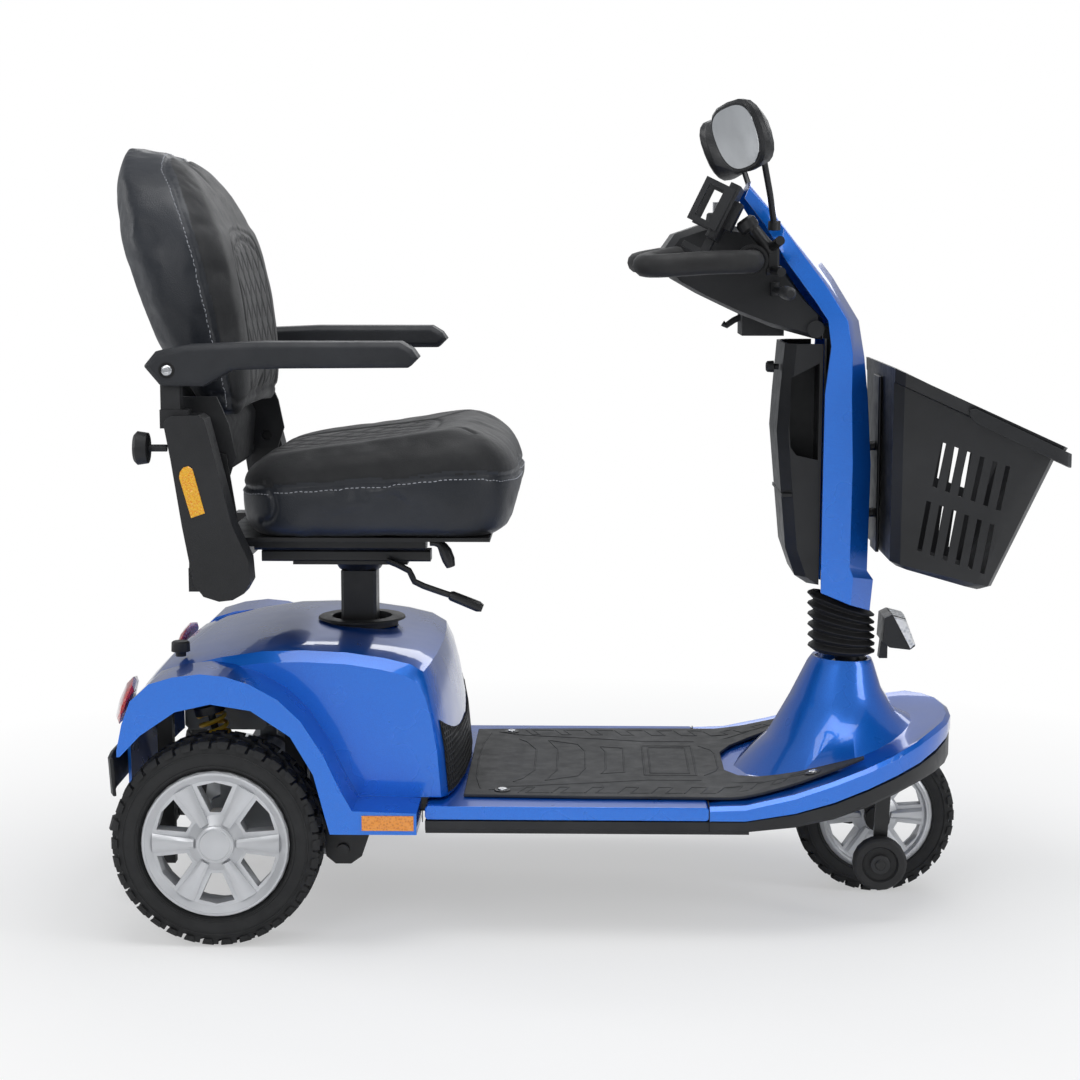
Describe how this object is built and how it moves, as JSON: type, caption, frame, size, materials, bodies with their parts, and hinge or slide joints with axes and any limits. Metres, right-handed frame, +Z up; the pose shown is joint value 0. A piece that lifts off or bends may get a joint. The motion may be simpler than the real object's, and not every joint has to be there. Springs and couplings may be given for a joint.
{
  "type": "mobility scooter",
  "caption": "Three-wheeled mobility scooter with a swivel captain seat, tilting tiller, front basket, hand loops, mirrors and a phone holder.",
  "frame": {"origin": "on the ground, under the middle of the scooter's length and width", "axes": "+X forward, +Y to the rider's left, +Z up"},
  "size_m": [1.2638, 0.588, 1.0546],
  "materials": {
    "blue_paint": "bright metallic blue paint under gloss lacquer",
    "tyre_rubber": "matte treaded rubber",
    "silver_rim": "silver painted, satin",
    "mat_rubber": "embossed matte rubber",
    "seat_vinyl": "charcoal grained vinyl over foam",
    "red_lens": "clear red lens",
    "spring_steel": "yellow painted coil, black damper",
    "cast_alloy": "as-cast",
    "battery_case": "dark moulded case",
    "key_steel": "bright steel",
    "black_steel": "black powder coat",
    "black_rubber": "soft matte rubber",
    "black_plastic": "fine textured black"
  },
  "bodies": {
    "chassis": {"chassis_frame": "black_steel", "battery_pack": "battery_case", "motor_controller": "cast_alloy", "front_cowl": "blue_paint", "deck_shell": "blue_paint", "deck_pan": "black_plastic", "floor_mat": "mat_rubber", "rear_hood": "blue_paint", "post_bezel": "black_plastic", "tail_lamp_left": "red_lens", "tail_lamp_right": "red_lens", "rear_valance": "black_plastic", "hood_latch_knob": "black_plastic", "rear_bar": "black_steel", "headlight": "black_plastic", "rear_shock_left": "spring_steel", "rear_shock_right": "spring_steel"},
    "rear_swing": {"drive_unit": "cast_alloy"},
    "rear_wheel_left": {"rear_left_tyre": "tyre_rubber", "rear_left_rim": "silver_rim"},
    "rear_wheel_right": {"rear_right_tyre": "tyre_rubber", "rear_right_rim": "silver_rim"},
    "anti_tip_left": {"front_anti_tip_wheel_left": "black_rubber"},
    "anti_tip_right": {"front_anti_tip_wheel_right": "black_rubber"},
    "steering": {"steering_fork": "black_steel", "steering_bellows": "black_rubber"},
    "front_wheel": {"front_tyre": "tyre_rubber", "front_rim": "silver_rim"},
    "tiller": {"tiller_front_cover": "blue_paint", "tiller_rear_cover": "black_plastic", "tiller_mast": "black_steel", "console": "black_plastic", "handle_loop_left": "black_rubber", "handle_loop_right": "black_rubber", "basket_bracket": "black_steel", "phone_arm": "black_plastic"},
    "throttle_left": {"throttle_lever_left": "black_rubber"},
    "throttle_right": {"throttle_lever_right": "black_rubber"},
    "key": {"ignition_key": "key_steel"},
    "dial": {"speed_dial": "black_plastic"},
    "tilt_knob": {"tilt_release_knob": "black_plastic"},
    "mirror_left": {"mirror_left": "black_plastic"},
    "mirror_right": {"mirror_right": "black_plastic"},
    "cradle": {"phone_cradle": "black_plastic"},
    "basket": {"basket": "black_plastic"},
    "basket_bail": {"basket_handle": "black_plastic"},
    "post": {"seat_post": "black_steel"},
    "swivel": {"seat_swivel": "black_steel"},
    "seat": {"seat_pan": "black_steel", "seat_cushion": "seat_vinyl"},
    "seat_back": {"seat_back_frame": "black_plastic", "seat_back_pad": "seat_vinyl"},
    "arm_left": {"arm_post_left": "black_plastic"},
    "arm_right": {"arm_post_right": "black_plastic"},
    "armrest_left": {"armrest_left": "black_plastic"},
    "armrest_right": {"armrest_right": "black_plastic"},
    "knob_left": {"arm_height_knob_left": "black_plastic"},
    "knob_right": {"arm_height_knob_right": "black_plastic"},
    "swivel_lever": {"swivel_lever": "black_steel"},
    "slide_lever": {"slide_lever": "black_plastic"}
  },
  "joints": [
    {"name": "rear_suspension", "type": "hinge", "parent": "chassis", "child": "rear_swing", "pos_m": [-0.3027, 0, 0.103], "axis": [0, 1, 0], "range_deg": [-2, 2.5], "stiffness_Nm_per_rad": 1500, "springref_deg": -2.58, "deforming": ["rear_shock_left", "rear_shock_right"]},
    {"name": "rear_left_axle", "type": "hinge", "parent": "rear_swing", "child": "rear_wheel_left", "pos_m": [-0.4537, 0.248, 0.133], "axis": [0, 1, 0], "continuous": true},
    {"name": "rear_right_axle", "type": "hinge", "parent": "rear_swing", "child": "rear_wheel_right", "pos_m": [-0.4537, -0.248, 0.133], "axis": [0, 1, 0], "continuous": true},
    {"name": "anti_tip_left_axle", "type": "hinge", "parent": "chassis", "child": "anti_tip_left", "pos_m": [0.3933, 0.163, 0.08], "axis": [0, 1, 0], "continuous": true},
    {"name": "anti_tip_right_axle", "type": "hinge", "parent": "chassis", "child": "anti_tip_right", "pos_m": [0.3933, -0.163, 0.08], "axis": [0, 1, 0], "continuous": true},
    {"name": "steering_turn", "type": "hinge", "parent": "chassis", "child": "steering", "pos_m": [0.3563, 0, 0.372], "axis": [-0.1825, 0, 0.9832], "range_deg": [-40, 40]},
    {"name": "front_axle", "type": "hinge", "parent": "steering", "child": "front_wheel", "pos_m": [0.4053, 0, 0.108], "axis": [0, 1, 0], "continuous": true},
    {"name": "tiller_tilt", "type": "hinge", "parent": "steering", "child": "tiller", "pos_m": [0.3583, 0, 0.372], "axis": [0, 1, 0], "range_deg": [-15, 0], "deforming": ["steering_bellows"]},
    {"name": "throttle_right_pull", "type": "hinge", "parent": "tiller", "child": "throttle_right", "pos_m": [0.2513, -0.1052, 0.8215], "axis": [0, 0, 1], "range_deg": [-12, 12], "stiffness_Nm_per_rad": 0.5},
    {"name": "throttle_left_pull", "type": "hinge", "parent": "tiller", "child": "throttle_left", "pos_m": [0.2513, 0.1052, 0.8215], "axis": [0, 0, 1], "range_deg": [-12, 12], "stiffness_Nm_per_rad": 0.5},
    {"name": "key_turn", "type": "hinge", "parent": "tiller", "child": "key", "pos_m": [0.1833, -0.05, 0.9046], "axis": [0, 0, -1], "range_deg": [0, 60]},
    {"name": "speed_turn", "type": "hinge", "parent": "tiller", "child": "dial", "pos_m": [0.1833, 0.05, 0.9046], "axis": [0, 0, 1], "range_deg": [-135, 135]},
    {"name": "tilt_release", "type": "slide", "parent": "tiller", "child": "tilt_knob", "axis": [-1, 0, 0], "range_m": [0, 0.008], "stiffness_N_per_m": 400},
    {"name": "mirror_left_turn", "type": "hinge", "parent": "tiller", "child": "mirror_left", "pos_m": [0.2493, 0.108, 0.902], "axis": [0, 0, 1], "range_deg": [-12, 12]},
    {"name": "mirror_right_turn", "type": "hinge", "parent": "tiller", "child": "mirror_right", "pos_m": [0.2493, -0.108, 0.902], "axis": [0, 0, 1], "range_deg": [-12, 12]},
    {"name": "cradle_tilt", "type": "hinge", "parent": "tiller", "child": "cradle", "pos_m": [0.2183, -0.149, 0.898], "axis": [0, 1, 0], "range_deg": [-12, 4]},
    {"name": "basket_lift", "type": "slide", "parent": "tiller", "child": "basket", "axis": [0, 0, 1], "range_m": [0, 0.2]},
    {"name": "basket_handle_swing", "type": "hinge", "parent": "basket", "child": "basket_bail", "pos_m": [0.5053, 0, 0.662], "axis": [0, -1, 0], "range_deg": [0, 110]},
    {"name": "seat_height", "type": "slide", "parent": "chassis", "child": "post", "axis": [0, 0, 1], "range_m": [0, 0.05]},
    {"name": "seat_swivel_turn", "type": "hinge", "parent": "post", "child": "swivel", "pos_m": [-0.2977, 0, 0.4522], "axis": [0, 0, 1], "range_deg": [-90, 90]},
    {"name": "seat_slide", "type": "slide", "parent": "swivel", "child": "seat", "axis": [1, 0, 0], "range_m": [-0.035, 0.035]},
    {"name": "back_fold", "type": "hinge", "parent": "seat", "child": "seat_back", "pos_m": [-0.4547, 0, 0.604], "axis": [0, 1, 0], "range_deg": [0, 40]},
    {"name": "arm_left_width", "type": "slide", "parent": "seat", "child": "arm_left", "axis": [0, 1, 0], "range_m": [0, 0.04]},
    {"name": "arm_right_width", "type": "slide", "parent": "seat", "child": "arm_right", "axis": [0, -1, 0], "range_m": [0, 0.04]},
    {"name": "armrest_left_flip", "type": "hinge", "parent": "arm_left", "child": "armrest_left", "pos_m": [-0.4987, 0.266, 0.727], "axis": [0, 1, 0], "range_deg": [-95, 0]},
    {"name": "armrest_right_flip", "type": "hinge", "parent": "arm_right", "child": "armrest_right", "pos_m": [-0.4987, -0.266, 0.727], "axis": [0, 1, 0], "range_deg": [-95, 0]},
    {"name": "knob_left_turn", "type": "hinge", "parent": "arm_left", "child": "knob_left", "pos_m": [-0.5057, 0.266, 0.63], "axis": [1, 0, 0], "continuous": true},
    {"name": "knob_right_turn", "type": "hinge", "parent": "arm_right", "child": "knob_right", "pos_m": [-0.5057, -0.266, 0.63], "axis": [1, 0, 0], "continuous": true},
    {"name": "swivel_lever_lift", "type": "hinge", "parent": "swivel", "child": "swivel_lever", "pos_m": [-0.2487, -0.128, 0.471], "axis": [0, 1, 0], "range_deg": [-8, 0], "stiffness_Nm_per_rad": 3},
    {"name": "slide_lever_lift", "type": "hinge", "parent": "seat", "child": "slide_lever", "pos_m": [-0.1907, -0.158, 0.4985], "axis": [0, 1, 0], "range_deg": [-8, 0], "stiffness_Nm_per_rad": 3}
  ],
  "couplings": [
    {"joint": "throttle_left_pull", "follows": "throttle_right_pull", "ratio": 1}
  ]
}
